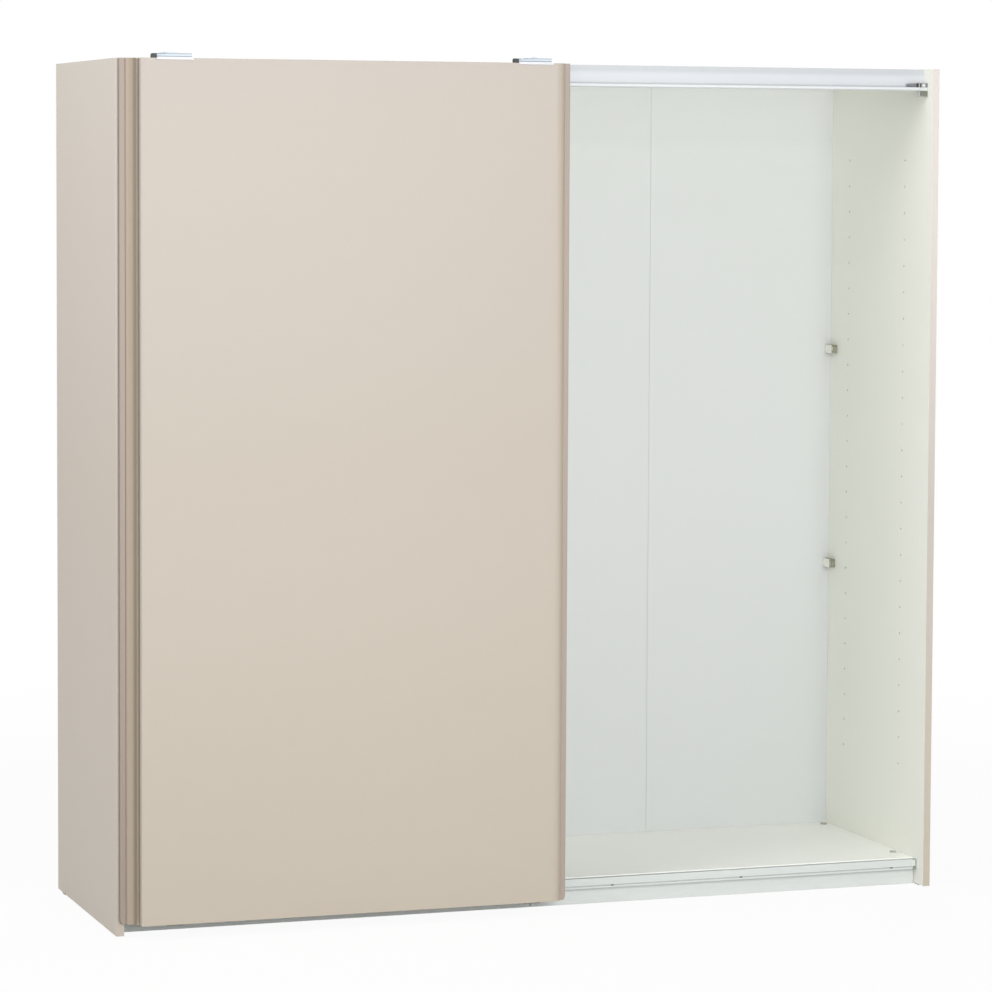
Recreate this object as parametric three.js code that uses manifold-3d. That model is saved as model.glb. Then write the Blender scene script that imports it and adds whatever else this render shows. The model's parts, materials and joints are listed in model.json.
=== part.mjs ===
// Sliding door cabinet: a wardrobe carcass with two overlaid doors that hang from one aluminium rail.
// Millimetres, +Z up, X along the front. The doors are on the -Y side.
// The origin is on the floor, under the middle of the whole cabinet.
// While the pieces are made, Y is counted from the front edge of the side panels, rearwards.
import * as THREE from 'three';
import { mergeVertices } from 'three/addons/utils/BufferGeometryUtils.js';
import Module from 'manifold-3d';

// Cabinet as a whole
const cabinetWidth = 2010;
const cabinetHeight = 1970;
const sideDepth = 600;
const sideThickness = 18;
const boardThickness = 16;
const baseHeight = 50;
const plinthJointGap = 1.6;
const plinthFloorGap = 1.5;
const seatGap = 0.3;
const cutOverrun = 1;

// Back of the cabinet
const backThickness = 3;
const backInset = 20;
const backGrooveDepth = 8;
const stripFrontWidth = 8;
const stripRearWidth = 14;
const stripFlange = 1.2;
const stripWeb = 1.4;

// Rows of shelf holes
const holeDiameter = 5;
const holeDepth = 9;
const holePitch = 64;
const lowestHole = 281;
const holeTopMargin = 200;
const frontHoleInset = 149;
const rearHoleInset = 472;
const holeSides = 10;

// Feet
const glideHeight = 4;
const glideLength = 30;
const rearGlideWidth = 14;
const frontGlideWidth = 6;
const glideChamfer = 1.5;
const glideInset = 50;

// Corner clips that hold the back to the sides
const clipWidth = 16;
const clipDepth = 40;
const clipHeight = 21;
const clipChamfer = 6;
const clipScrewDiameter = 13;
const clipScrewHeight = 1.5;
const clipSlotWidth = 2.4;
const lowerClipHeight = 734;
const upperClipHeight = 1277;

// Doors
const doorThickness = 18;
const doorFloorGap = 33;
const doorEndInset = 7;
const doorOverlap = 28;
const parkedOffset = 40;
const rearDoorClearance = 5;
const doorSpacing = 10;
const doorEdgeEase = 1;

// Grip along the leading edge of each door
const lipWidth = 13;
const lipEase = 1.5;
const lipDepth = 12.5;
const gripWidth = 25;
const gripDepth = 12;
const gripSteps = 16;
const quarterTurn = Math.PI / 2;
const lipCornerWidth = 4;
const lipCornerHeight = 9;

// Top rail
const railFace = 47.7;
const railWall = 2;
const bandHeight = 12;
const bandInset = 0.8;
const bandSlope = 3;
const upperChannelWidth = 14.3;
const upperChannelDepth = 10;
const railBackHeight = 16;
const railHeight = 51;
const lowerChannelWidth = 15.7;
const railLipHeight = 8;
const lipRebateHeight = 2;
const lipRebateDepth = 0.8;

// Bottom guide rail
const guideRailFace = 38;
const guideRailBottom = 40;
const guideRailDrop = 2;
const guideFrontWeb = 2.4;
const guideWeb = 1.6;
const guideBackWeb = 2;
const guideGrooveWidth = 5;
const guideTopWall = 4;
const faceGrooveDepth = 1;
const faceGrooveBottom = 4;
const faceGrooveHeight = 3;
const guideRailChamfer = 2;

// Rollers and their pins
const rollerRadius = 8.5;
const rollerWidth = 8;
const rollerEase = 0.5;
const rollerHubRadius = 4.2;
const rollerTyreRadius = 6.4;
const rollerRecess = 1.2;
const pinRadius = 2.5;
const pinPlay = 0.15;
const pinEnd = 1;
const rollerSides = 20;

// Hangers
const hangerLength = 80;
const hangerSteel = 2;
const hangerPinInset = 14;
const frontPinLeftInset = 33;
const hangerNeckInset = 23;
const hangerShoulderRise = 2;
const flangeChannelGap = 1;
const rollerFlangeGap = 0.5;
const flangeBelowPin = 5.8;
const frontPlateRise = 10.4;
const archCentre = 34;
const archWidth = 36;
const archHeight = 4;
const archSteps = 8;
const hangerStepBack = 2.3;
const hangerStepRise = 2.4;
const hangerStepThickness = 1.5;
const hangerTabLength = 4;
const notchDepth = 4;
const frontHangerLeftInset = 36;
const frontHangerRightInset = 49;
const bufferLength = 11;
const bufferDepth = 15;
const bufferHeight = 9.7;
const bufferEase = 2;
const rearArmDrop = 28;
const rearPlateDrop = 95;
const rearHangerLeftInset = 63;
const rearHangerRightInset = 23;
const gussetThickness = 3;
const gussetReach = 22;
const gussetDrop = 34;

// End stops
const railStopLength = 20;
const railStopWeb = 2.2;
const railStopStrip = 1.2;
const railStopScrewRadius = 4;
const railStopScrewHead = 1;
const railStopJaw = 12.7;
const railStopTop = 33;
const railStopReach = 16.5;
const stopArmTop = 33;
const stopArmHeight = 10;
const stopArmTaperShare = 0.2;
const stopArmThickness = 5.5;
const stopArmBack = 2.5;
const upperStopLength = 24;
const upperStopHeight = 9;
const upperStopChamfer = 3;
const stopPlay = 3;

// Bottom guides
const guideLength = 40;
const guideInset = 60;
const finThickness = 3;
const finTop = 57;
const guidePlate = 3;
const guideArm = 3.5;
const rearArmHeight = 35;
const rearPlateTop = 70;
const frontArmHeight = 28;
const frontPlateTop = 75;

// Places that follow from the sizes above
const halfWidth = cabinetWidth / 2;
const innerHalf = halfWidth - sideThickness;
const partitionHalf = boardThickness / 2;
const holeRows = Math.floor((cabinetHeight - holeTopMargin - lowestHole) / holePitch) + 1;
const backFace = sideDepth - backInset - backThickness;
const boardRear = backFace - seatGap;
const railWallBack = railFace + railWall;
const upperChannelFront = railWallBack;
const upperChannelBack = upperChannelFront + upperChannelWidth;
const railBack = upperChannelBack + railWall;
const lowerChannelFront = railFace - lowerChannelWidth;
const railFront = lowerChannelFront - railWall;
const railBottom = cabinetHeight - railHeight;
const lowerChannelFloor = railBottom + railWall;
const railLipTop = railBottom + railLipHeight;
const upperChannelFloor = cabinetHeight - upperChannelDepth;
const boardTop = baseHeight + boardThickness;
const guideRailTop = boardTop - guideRailDrop;
const frontGrooveStart = guideRailFace + guideFrontWeb;
const rearGrooveStart = frontGrooveStart + guideGrooveWidth + guideWeb;
const guideRailBack = rearGrooveStart + guideGrooveWidth + guideBackWeb;
const plinthFace = guideRailBack + seatGap;
const plinthBack = plinthFace + boardThickness;
const topBoardFront = railBack + seatGap;
const partitionFront = plinthBack + seatGap;
const rearDoorBack = -rearDoorClearance;
const rearDoorFace = rearDoorBack - doorThickness;
const frontDoorBack = rearDoorFace - doorSpacing;
const frontDoorFace = frontDoorBack - doorThickness;
const doorWidth = (cabinetWidth - 2 * doorEndInset + doorOverlap) / 2;
const rearDoorLeft = doorEndInset - halfWidth;
const frontDoorLeft = rearDoorLeft + parkedOffset;
const pinBore = pinRadius + pinPlay;
const pinLength = rollerFlangeGap + rollerWidth + pinEnd;
const frontFlange = upperChannelFront + flangeChannelGap;
const rearFlange = lowerChannelFront + flangeChannelGap;
const frontPinHeight = upperChannelFloor + seatGap + rollerRadius;
const rearPinHeight = lowerChannelFloor + seatGap + rollerRadius;
const plateTop = cabinetHeight + frontPlateRise;

// Materials
const cashmere = new THREE.MeshStandardMaterial({ color: 0xd6cbbe, roughness: 0.55 });
const white = new THREE.MeshStandardMaterial({ color: 0xe2e4df, roughness: 0.5 });
const hardboard = new THREE.MeshStandardMaterial({ color: 0xdcded9, roughness: 0.7 });
const railMetal = new THREE.MeshStandardMaterial({ color: 0xe2e6ea, roughness: 0.4, metalness: 0.3 });
const steel = new THREE.MeshStandardMaterial({ color: 0xb9c0c4, roughness: 0.3, metalness: 0.9 });
const nylon = new THREE.MeshStandardMaterial({ color: 0xd9d9d4, roughness: 0.45 });
const blackPlastic = new THREE.MeshStandardMaterial({ color: 0x2a2c2b, roughness: 0.5 });
const greyPlastic = new THREE.MeshStandardMaterial({ color: 0x6b6c68, roughness: 0.55 });
const nickel = new THREE.MeshStandardMaterial({ color: 0xa6a698, roughness: 0.35, metalness: 0.9 });

const wasm = await Module();
wasm.setup();

// A closed geometry as a solid that can be joined and cut
function toSolid(geometry) {
  const bare = geometry.clone();
  bare.deleteAttribute('normal');
  bare.deleteAttribute('uv');
  const merged = mergeVertices(bare);
  const vertProperties = new Float32Array(merged.attributes.position.array);
  const triVerts = new Uint32Array(merged.index.array);
  return new wasm.Manifold(new wasm.Mesh({ numProp: 3, vertProperties, triVerts }));
}

function toGeometry(solid) {
  const mesh = solid.getMesh();
  const geometry = new THREE.BufferGeometry();
  geometry.setAttribute('position', new THREE.BufferAttribute(mesh.vertProperties, 3));
  geometry.setIndex(new THREE.BufferAttribute(mesh.triVerts, 1));
  geometry.computeVertexNormals();
  return geometry;
}

function join(...geometries) {
  return toGeometry(wasm.Manifold.union(geometries.map(toSolid)));
}

function cut(geometry, ...tools) {
  return toGeometry(toSolid(geometry).subtract(wasm.Manifold.union(tools.map(toSolid))));
}

// Outlines are lists of pairs, which are extruded along the axis that they leave out
function extrude(outline, length) {
  const shape = new THREE.Shape(outline.map(([a, b]) => new THREE.Vector2(a, b)));
  return new THREE.ExtrudeGeometry(shape, { depth: length, bevelEnabled: false, curveSegments: 1 });
}

// An outline of (y, z) pairs from x = start to x = end
function alongX(outline, start, end) {
  const turn = new THREE.Matrix4().set(0, 0, 1, start, 1, 0, 0, 0, 0, 1, 0, 0, 0, 0, 0, 1);
  return extrude(outline, end - start).applyMatrix4(turn);
}

// An outline of (x, z) pairs from y = start to y = end
function alongY(outline, start, end) {
  const turn = new THREE.Matrix4().set(1, 0, 0, 0, 0, 0, -1, end, 0, 1, 0, 0, 0, 0, 0, 1);
  return extrude(outline, end - start).applyMatrix4(turn);
}

// An outline of (x, y) pairs from z = start to z = end
function alongZ(outline, start, end) {
  return extrude(outline, end - start).translate(0, 0, start);
}

function block([x0, x1], [y0, y1], [z0, z1]) {
  const geometry = new THREE.BoxGeometry(x1 - x0, y1 - y0, z1 - z0);
  return geometry.translate((x0 + x1) / 2, (y0 + y1) / 2, (z0 + z1) / 2);
}

const around = (centre, length) => [centre - length / 2, centre + length / 2];
const ordered = (a, b) => [Math.min(a, b), Math.max(a, b)];
const shifted = (outline, offset) => outline.map(([a, b]) => [a + offset, b]);

const cabinet = new THREE.Group();
cabinet.position.y = -(sideDepth + frontDoorFace) / 2;

function add(name, geometry, material) {
  const mesh = new THREE.Mesh(geometry, material);
  mesh.name = name;
  cabinet.add(mesh);
}

// Shelf holes: two upright rows of them, drilled along X
function shelfHoles(start, end) {
  const holes = [];
  const radius = holeDiameter / 2;
  for (const inset of [frontHoleInset, rearHoleInset]) {
    for (let row = 0; row < holeRows; row += 1) {
      const hole = new THREE.CylinderGeometry(radius, radius, end - start, holeSides);
      hole.rotateZ(Math.PI / 2);
      hole.translate((start + end) / 2, inset, lowestHole + row * holePitch);
      holes.push(hole);
    }
  }
  return holes;
}

// Side panels, each with a groove for the back and blind shelf holes in its inner face
function sidePanel(side) {
  const xs = ordered(side * innerHalf, side * halfWidth);
  const panel = block(xs, [0, sideDepth], [glideHeight, cabinetHeight]);
  const mouth = side * (innerHalf - cutOverrun);
  const groove = block(
    ordered(mouth, side * (innerHalf + backGrooveDepth)),
    [backFace - seatGap, backFace + backThickness + seatGap],
    [baseHeight - seatGap, cabinetHeight + cutOverrun],
  );
  return cut(panel, groove, ...shelfHoles(...ordered(mouth, side * (innerHalf + holeDepth))));
}

function addSides() {
  add('left_side_panel', sidePanel(-1), cashmere);
  add('right_side_panel', sidePanel(1), cashmere);
}

// The partition's shelf holes go right through it
function addPartition() {
  const xs = [-partitionHalf, partitionHalf];
  const panel = block(xs, [partitionFront, boardRear], [glideHeight, cabinetHeight]);
  const holes = shelfHoles(-partitionHalf - cutOverrun, partitionHalf + cutOverrun);
  add('middle_partition', cut(panel, ...holes), white);
}

// Boards and plinths fill the two halves between the sides and the partition
function addBoards() {
  for (const [name, side] of [['left', -1], ['right', 1]]) {
    const outerEnd = side * (innerHalf - seatGap);
    const xs = ordered(side * (partitionHalf + seatGap), outerEnd);
    const plinthXs = ordered(side * plinthJointGap / 2, outerEnd);
    const topZs = [cabinetHeight - boardThickness, cabinetHeight];
    const plinthZs = [plinthFloorGap, baseHeight - seatGap];
    add(`top_board_${name}`, block(xs, [topBoardFront, boardRear], topZs), white);
    add(`bottom_board_${name}`, block(xs, [plinthFace, boardRear], [baseHeight, boardTop]), white);
    add(`plinth_${name}`, block(plinthXs, [plinthFace, plinthBack], plinthZs), white);
  }
}

// The back is four thin sheets. Two are joined in the middle of each half by an upright strip.
function addBack() {
  const outerEdge = innerHalf + backGrooveDepth - seatGap;
  const jointCentre = (partitionHalf + innerHalf) / 2;
  const webSide = stripWeb / 2 + seatGap;
  const spans = [
    [-outerEdge, -jointCentre - webSide],
    [-jointCentre + webSide, -seatGap / 2],
    [seatGap / 2, jointCentre - webSide],
    [jointCentre + webSide, outerEdge],
  ];
  const sheetZs = [baseHeight, cabinetHeight];
  spans.forEach((xs, index) => {
    add(`back_sheet_${index + 1}`, block(xs, [backFace, backFace + backThickness], sheetZs), hardboard);
  });
  const frontY = backFace - seatGap;
  const rearY = backFace + backThickness + seatGap;
  const section = [
    [-stripFrontWidth / 2, frontY - stripFlange], [stripFrontWidth / 2, frontY - stripFlange],
    [stripFrontWidth / 2, frontY], [stripWeb / 2, frontY], [stripWeb / 2, rearY],
    [stripRearWidth / 2, rearY], [stripRearWidth / 2, rearY + stripFlange],
    [-stripRearWidth / 2, rearY + stripFlange], [-stripRearWidth / 2, rearY],
    [-stripWeb / 2, rearY], [-stripWeb / 2, frontY], [-stripFrontWidth / 2, frontY],
  ];
  const bottom = boardTop + seatGap;
  const top = cabinetHeight - boardThickness - seatGap;
  add('back_joint_strip_left', alongZ(shifted(section, -jointCentre), bottom, top), white);
  add('back_joint_strip_right', alongZ(shifted(section, jointCentre), bottom, top), white);
}

// A corner clip: a block with two cut corners at the back, and a slotted screw in its front
function backClip(side, height) {
  const front = backFace - seatGap - clipDepth;
  const back = backFace - seatGap;
  const low = height - clipHeight / 2;
  const high = height + clipHeight / 2;
  const outline = [
    [front, low], [back - clipChamfer, low], [back, low + clipChamfer],
    [back, high - clipChamfer], [back - clipChamfer, high], [front, high],
  ];
  const centre = side * (innerHalf - seatGap - clipWidth / 2);
  const body = alongX(outline, ...around(centre, clipWidth));
  const radius = clipScrewDiameter / 2;
  const screwLength = clipScrewHeight + cutOverrun;
  const screw = new THREE.CylinderGeometry(radius, radius, screwLength, rollerSides);
  screw.translate(centre, front - clipScrewHeight + screwLength / 2, height);
  const slotYs = [front - clipScrewHeight - cutOverrun, front - clipScrewHeight / 2];
  const slotLength = clipScrewDiameter - 2 * clipScrewHeight;
  const upright = block(around(centre, clipSlotWidth), slotYs, around(height, slotLength));
  const level = block(around(centre, slotLength), slotYs, around(height, clipSlotWidth));
  return cut(join(body, screw), upright, level);
}

function addClips() {
  for (const [name, side] of [['left', -1], ['right', 1]]) {
    add(`back_clip_${name}_lower`, backClip(side, lowerClipHeight), nickel);
    add(`back_clip_${name}_upper`, backClip(side, upperClipHeight), nickel);
  }
}

// A foot glide: a long pad with eased lower edges
function glide(centreX, centreY, width) {
  const half = glideLength / 2;
  const top = glideHeight - seatGap;
  const outline = [
    [centreY - half, top], [centreY - half, glideChamfer], [centreY - half + glideChamfer, 0],
    [centreY + half - glideChamfer, 0], [centreY + half, glideChamfer], [centreY + half, top],
  ];
  return alongX(outline, ...around(centreX, width));
}

function addGlides() {
  const sideCentre = halfWidth - sideThickness / 2;
  const rows = [['left', -sideCentre, 0], ['middle', 0, partitionFront], ['right', sideCentre, 0]];
  for (const [name, centreX, front] of rows) {
    add(`foot_glide_${name}_front`, glide(centreX, front + glideInset, frontGlideWidth), blackPlastic);
    const rear = boardRear - glideInset + backInset;
    add(`foot_glide_${name}_rear`, glide(centreX, rear, rearGlideWidth), blackPlastic);
  }
}

// The top rail: a channel on top for the front door's rollers, and a hooked one below for the rear door's
function addTopRail() {
  const bandFace = railFace + bandInset;
  const section = [
    [bandFace, cabinetHeight], [bandFace, cabinetHeight - bandHeight],
    [railFace, cabinetHeight - bandHeight - bandSlope], [railFace, lowerChannelFloor],
    [lowerChannelFront, lowerChannelFloor], [lowerChannelFront, railLipTop],
    [railFront, railLipTop], [railFront, railBottom + lipRebateHeight],
    [railFront + lipRebateDepth, railBottom + lipRebateHeight], [railFront + lipRebateDepth, railBottom],
    [railWallBack, railBottom],
    [railWallBack, upperChannelFloor - railWall], [upperChannelBack, upperChannelFloor - railWall],
    [upperChannelBack, cabinetHeight - railBackHeight], [railBack, cabinetHeight - railBackHeight],
    [railBack, cabinetHeight], [upperChannelBack, cabinetHeight],
    [upperChannelBack, upperChannelFloor], [upperChannelFront, upperChannelFloor],
    [upperChannelFront, cabinetHeight],
  ];
  add('top_rail', alongX(section, seatGap - innerHalf, innerHalf - seatGap), railMetal);
}

// The bottom rail: two grooves that open downwards, one for each door's guides
function addGuideRail() {
  const ceiling = guideRailTop - guideTopWall;
  const grooveLow = guideRailBottom + faceGrooveBottom;
  const grooveHigh = grooveLow + faceGrooveHeight;
  const grooveFloor = guideRailFace + faceGrooveDepth;
  const section = [
    [guideRailFace, guideRailTop], [guideRailFace, grooveHigh], [grooveFloor, grooveHigh],
    [grooveFloor, grooveLow], [guideRailFace, grooveLow], [guideRailFace, guideRailBottom],
    [frontGrooveStart, guideRailBottom], [frontGrooveStart, ceiling],
    [frontGrooveStart + guideGrooveWidth, ceiling], [frontGrooveStart + guideGrooveWidth, guideRailBottom],
    [rearGrooveStart, guideRailBottom], [rearGrooveStart, ceiling],
    [rearGrooveStart + guideGrooveWidth, ceiling], [rearGrooveStart + guideGrooveWidth, guideRailBottom],
    [guideRailBack, guideRailBottom], [guideRailBack, guideRailTop - guideRailChamfer],
    [guideRailBack - guideRailChamfer, guideRailTop],
  ];
  add('bottom_guide_rail', alongX(section, seatGap - innerHalf, innerHalf - seatGap), railMetal);
}

// A stop for the lower channel: a block under the rail, a thin strip over its lip with a screwed body above,
// and an arm in the channel for the hanger to meet
function railStop() {
  const web = railFront - seatGap;
  const front = web - railStopWeb;
  const stripFront = web - railStopStrip;
  const back = web + railStopReach;
  const lipInside = lowerChannelFront + seatGap;
  const top = cabinetHeight - railStopTop;
  const bottom = railBottom - seatGap - railStopJaw;
  const section = [
    [front, bottom], [back, bottom], [back, railBottom - seatGap], [web, railBottom - seatGap],
    [web, railLipTop + seatGap], [lipInside, railLipTop + seatGap],
    [lipInside, lowerChannelFloor + seatGap], [back, lowerChannelFloor + seatGap], [back, top], [front, top],
    [front, railLipTop], [stripFront, railLipTop], [stripFront, railBottom], [front, railBottom],
  ];
  const clampEnd = innerHalf - seatGap;
  const clampStart = clampEnd - railStopLength;
  const tip = halfWidth - doorEndInset - rearHangerLeftInset + stopPlay;
  const armTop = cabinetHeight - stopArmTop;
  const armBottom = armTop - stopArmHeight;
  const taper = stopArmHeight * stopArmTaperShare;
  const arm = [
    [tip, armBottom + taper],
    [clampStart, armBottom], [clampStart + cutOverrun, armBottom], [clampStart + cutOverrun, armTop],
    [tip, armTop - taper],
  ];
  const armStart = lipInside + stopArmBack;
  const headLength = railStopScrewHead + cutOverrun;
  const headMiddle = front - railStopScrewHead + headLength / 2;
  const head = new THREE.CylinderGeometry(railStopScrewRadius, railStopScrewRadius, headLength, rollerSides);
  head.translate((clampStart + clampEnd) / 2, headMiddle, (railLipTop + top) / 2);
  const body = alongX(section, clampStart, clampEnd);
  return join(body, head, alongY(arm, armStart, armStart + stopArmThickness));
}

// A stop block in the rail's upper channel
function upperStop(start) {
  const end = start + upperStopLength;
  const low = upperChannelFloor + seatGap;
  const high = low + upperStopHeight;
  const outline = [
    [start, low], [end, low], [end, high - upperStopChamfer], [end - upperStopChamfer, high],
    [start + upperStopChamfer, high], [start, high - upperStopChamfer],
  ];
  return alongY(outline, upperChannelFront + seatGap, upperChannelBack - seatGap);
}

function mirrorX(geometry) {
  return toGeometry(toSolid(geometry).mirror([1, 0, 0]));
}

// Doors. An outline is seen from above, with x from the plain edge towards the grip.
function panelOutline() {
  const end = doorWidth - lipWidth - seatGap;
  const curveStart = end - gripWidth;
  const points = [[0, doorEdgeEase], [doorEdgeEase, 0]];
  for (let step = 0; step <= gripSteps; step += 1) {
    const turn = quarterTurn * step / gripSteps;
    points.push([curveStart + gripWidth * Math.sin(turn), gripDepth * (1 - Math.cos(turn))]);
  }
  return [...points, [end, doorThickness], [0, doorThickness]];
}

// The lip stands back behind the door's face, where the face has rolled off
function lipOutline() {
  const start = doorWidth - lipWidth;
  return [
    [start, doorThickness], [start, lipDepth], [doorWidth - lipEase, lipDepth],
    [doorWidth, lipDepth + lipEase], [doorWidth, doorThickness],
  ];
}

// Sets a door outline at its place. The rear door's grip is on its left, the front door's on its right.
function placed(outline, isFront) {
  if (isFront) return outline.map(([x, depth]) => [frontDoorLeft + x, frontDoorFace + depth]);
  return outline.map(([x, depth]) => [rearDoorLeft + doorWidth - x, rearDoorFace + depth]);
}

function hangerStarts(isFront) {
  const left = isFront ? frontDoorLeft + frontHangerLeftInset : rearDoorLeft + rearHangerLeftInset;
  const rightInset = isFront ? frontHangerRightInset : rearHangerRightInset;
  const right = (isFront ? frontDoorLeft : rearDoorLeft) + doorWidth - rightInset - hangerLength;
  return [left, right];
}

// The lip runs the door's full height, and its outer corner is cut away at the foot
function gripStrip(isFront) {
  const strip = alongZ(placed(lipOutline(), isFront), doorFloorGap, cabinetHeight);
  const edge = isFront ? frontDoorLeft + doorWidth : rearDoorLeft;
  const inwards = isFront ? -1 : 1;
  const corner = [
    [edge - inwards * cutOverrun, doorFloorGap - cutOverrun],
    [edge + inwards * lipCornerWidth, doorFloorGap - cutOverrun],
    [edge + inwards * lipCornerWidth, doorFloorGap],
    [edge, doorFloorGap + lipCornerHeight],
    [edge - inwards * cutOverrun, doorFloorGap + lipCornerHeight],
  ];
  const face = isFront ? frontDoorFace : rearDoorFace;
  return cut(strip, alongY(corner, face - cutOverrun, face + doorThickness + cutOverrun));
}

function frontPanel() {
  const panel = alongZ(placed(panelOutline(), true), doorFloorGap, cabinetHeight);
  const notches = hangerStarts(true).map((start) => block(
    [start - seatGap, start + hangerLength + hangerTabLength + seatGap],
    [frontDoorFace - cutOverrun, frontDoorBack + cutOverrun],
    [cabinetHeight - notchDepth, cabinetHeight + cutOverrun],
  ));
  return cut(panel, ...notches);
}

function addDoors() {
  add('front_door_panel', frontPanel(), cashmere);
  add('front_door_grip_strip', gripStrip(true), cashmere);
  add('rear_door_panel', alongZ(placed(panelOutline(), false), doorFloorGap, cabinetHeight), cashmere);
  add('rear_door_grip_strip', gripStrip(false), cashmere);
}

function pin(x, start, height) {
  const rod = new THREE.CylinderGeometry(pinRadius, pinRadius, pinLength + cutOverrun, rollerSides);
  return rod.translate(x, start + (pinLength - cutOverrun) / 2, height);
}

function pinPlaces(start, isFront) {
  const leftInset = isFront ? frontPinLeftInset : hangerPinInset;
  return [start + leftInset, start + hangerLength - hangerPinInset];
}

// Height of the arch stamped into a front hanger's plate, at a distance along the plate
function archRise(along) {
  const share = (along - archCentre) / archWidth;
  return Math.abs(share) < 1 / 2 ? archHeight * Math.cos(Math.PI * share) ** 2 : 0;
}

// A front hanger: a foot let into the door's top, an arched plate that reaches over the rear door,
// and a flange that drops into the rail's upper channel and carries two roller pins
function frontHanger(start) {
  const stations = [0];
  for (let step = 0; step <= archSteps; step += 1) {
    stations.push(archCentre - archWidth / 2 + archWidth * step / archSteps);
  }
  stations.push(hangerLength);
  const top = stations.map((along) => [start + along, plateTop + archRise(along)]);
  const neckStations = [hangerNeckInset, ...stations.filter((along) => along > hangerNeckInset)];
  const neckTop = neckStations.map((along) => [start + along, plateTop + archRise(along)]);
  const neckUnder = neckTop.map(([x, z]) => [x, z - hangerSteel]).reverse();
  const stepTop = cabinetHeight + hangerStepRise;
  const stepUnder = stepTop - hangerStepThickness;
  const footFront = frontDoorFace + seatGap;
  const footLow = cabinetHeight - notchDepth + seatGap;
  const standFront = footFront + hangerStepBack;
  const standBack = standFront + hangerSteel;
  const flangeBack = frontFlange + hangerSteel;
  const neck = alongY([...neckTop, ...neckUnder], standFront, flangeBack);
  const standOutline = [...top, [start + hangerLength, stepUnder], [start, stepUnder]];
  const stand = alongY(standOutline, standFront, standBack);
  const foot = [
    [footFront, footLow], [frontDoorBack - seatGap, footLow],
    [frontDoorBack - seatGap, footLow + hangerSteel], [footFront + hangerSteel, footLow + hangerSteel],
    [footFront + hangerSteel, stepUnder], [standBack, stepUnder], [standBack, stepTop], [footFront, stepTop],
  ];
  const shoulder = cabinetHeight + hangerShoulderRise;
  const neckXs = [start + hangerNeckInset, start + hangerLength];
  const neckZs = [shoulder - cutOverrun, plateTop - hangerSteel / 2];
  const neckFlange = block(neckXs, [frontFlange, flangeBack], neckZs);
  const flangeZs = [frontPinHeight - flangeBelowPin, shoulder];
  const flange = block([start, start + hangerLength], [frontFlange, flangeBack], flangeZs);
  const tab = block(
    [start + hangerLength - cutOverrun, start + hangerLength + hangerTabLength],
    [footFront, footFront + hangerSteel], [footLow, cabinetHeight],
  );
  const pins = pinPlaces(start, true).map((x) => pin(x, flangeBack, frontPinHeight));
  return join(neck, stand, alongX(foot, start, start + hangerLength), flange, neckFlange, tab, ...pins);
}

// A rear hanger: a bent plate on the door's back, with an arm over the rail's lip and two roller pins
function rearHanger(start) {
  const plateFront = rearDoorBack + seatGap;
  const plateBack = plateFront + hangerSteel;
  const armTop = cabinetHeight - rearArmDrop;
  const armUnder = armTop - hangerSteel;
  const flangeBack = rearFlange + hangerSteel;
  const flangeLow = rearPinHeight - flangeBelowPin;
  const section = [
    [plateFront, cabinetHeight - rearPlateDrop], [plateBack, cabinetHeight - rearPlateDrop],
    [plateBack, armUnder], [rearFlange, armUnder], [rearFlange, flangeLow],
    [flangeBack, flangeLow], [flangeBack, armTop], [plateFront, armTop],
  ];
  const gusset = [
    [plateBack - cutOverrun, armUnder + cutOverrun], [plateBack + gussetReach, armUnder + cutOverrun],
    [plateBack + gussetReach, armUnder], [plateBack, armUnder - gussetDrop],
    [plateBack - cutOverrun, armUnder - gussetDrop],
  ];
  const ends = [start, start + hangerLength - gussetThickness];
  const gussets = ends.map((x) => alongX(gusset, x, x + gussetThickness));
  const pins = pinPlaces(start, false).map((x) => pin(x, flangeBack, rearPinHeight));
  return join(alongX(section, start, start + hangerLength), ...gussets, ...pins);
}

// A roller: a hub and a tyre with a recess between them on both sides, turned about the pin's axis along Y
function roller(x, flangeBack, height) {
  const inner = rollerWidth - rollerRecess;
  const profile = [
    [pinBore, 0], [rollerHubRadius, 0], [rollerHubRadius, rollerRecess], [rollerTyreRadius, rollerRecess],
    [rollerTyreRadius, 0], [rollerRadius - rollerEase, 0], [rollerRadius, rollerEase],
    [rollerRadius, rollerWidth - rollerEase], [rollerRadius - rollerEase, rollerWidth],
    [rollerTyreRadius, rollerWidth], [rollerTyreRadius, inner], [rollerHubRadius, inner],
    [rollerHubRadius, rollerWidth], [pinBore, rollerWidth], [pinBore, 0],
  ];
  const points = profile.map(([radius, along]) => new THREE.Vector2(radius, along));
  const ring = new THREE.LatheGeometry(points, rollerSides);
  return ring.translate(x, flangeBack + rollerFlangeGap, height);
}

function addRunningGear() {
  const sides = ['left', 'right'];
  for (const [door, isFront] of [['front', true], ['rear', false]]) {
    const make = isFront ? frontHanger : rearHanger;
    const flangeBack = (isFront ? frontFlange : rearFlange) + hangerSteel;
    const height = isFront ? frontPinHeight : rearPinHeight;
    const places = hangerStarts(isFront);
    places.forEach((start, index) => add(`${door}_door_hanger_${sides[index]}`, make(start), steel));
    places.flatMap((start) => pinPlaces(start, isFront)).forEach((x, index) => {
      add(`${door}_roller_${index + 1}`, roller(x, flangeBack, height), nylon);
    });
  }
}

// Black buffer blocks beside the front hangers, on the door's top edge
function addBuffers() {
  const ys = [frontDoorFace + seatGap, frontDoorFace + seatGap + bufferDepth];
  hangerStarts(true).forEach((hangerStart, index) => {
    const end = hangerStart - seatGap;
    const start = end - bufferLength;
    const low = cabinetHeight + seatGap;
    const high = low + bufferHeight;
    const outline = [
      [start, low], [end, low], [end, high], [start + bufferEase, high], [start, high - bufferEase],
    ];
    add(`front_door_buffer_${['left', 'right'][index]}`, alongY(outline, ...ys), blackPlastic);
  });
}

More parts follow.
